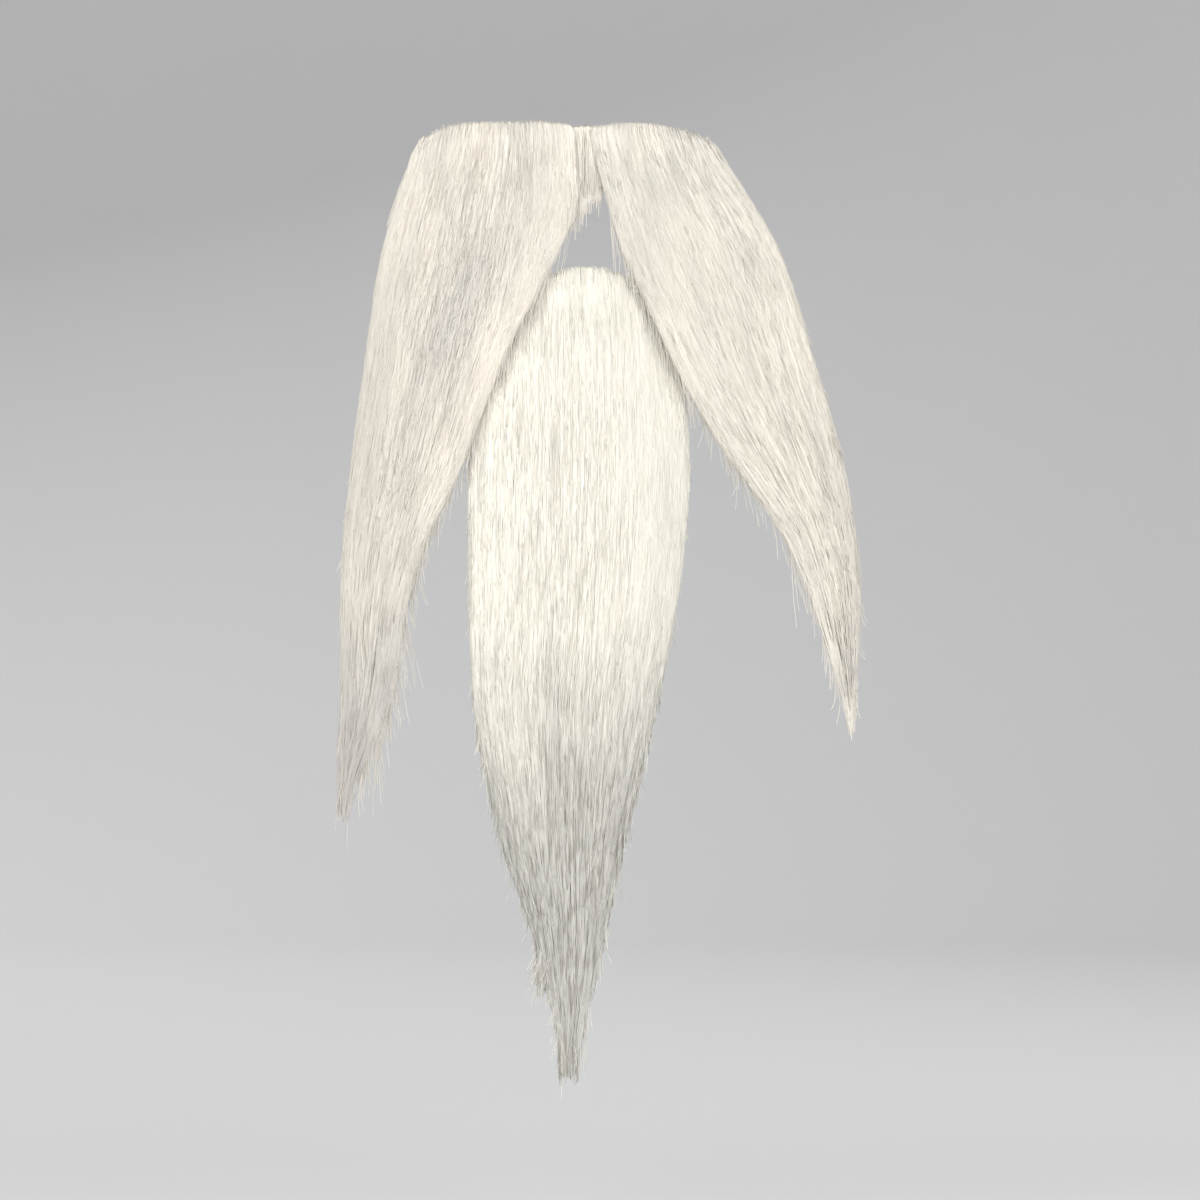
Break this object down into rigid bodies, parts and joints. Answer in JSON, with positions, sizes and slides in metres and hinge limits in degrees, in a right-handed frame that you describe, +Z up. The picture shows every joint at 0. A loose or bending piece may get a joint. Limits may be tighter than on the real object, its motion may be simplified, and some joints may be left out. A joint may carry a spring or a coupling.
{
  "type": "fake beard with moustache",
  "caption": "Stick-on false moustache with long drooping wings and a long pointed chin beard, in straight white hair on thin fabric bases.",
  "frame": {"origin": "on the wearer's upper lip, at the middle of the moustache base's back face", "axes": "+Z up the wearer's face, front towards -Y, +X to the right as seen from the front"},
  "size_m": [0.1197, 0.0334, 0.2173],
  "materials": {
    "white_hair": "straight synthetic fibre, soft sheen",
    "ivory_hair": "straight synthetic fibre, soft sheen, warmer",
    "base_fabric": "plain woven backing, matt"
  },
  "bodies": {
    "root": {"moustache_base": "base_fabric", "moustache_wing_left": "white_hair", "moustache_wing_right": "white_hair", "moustache_centre_lock": "ivory_hair", "chin_base": "base_fabric", "chin_beard": "ivory_hair"}
  },
  "joints": []
}
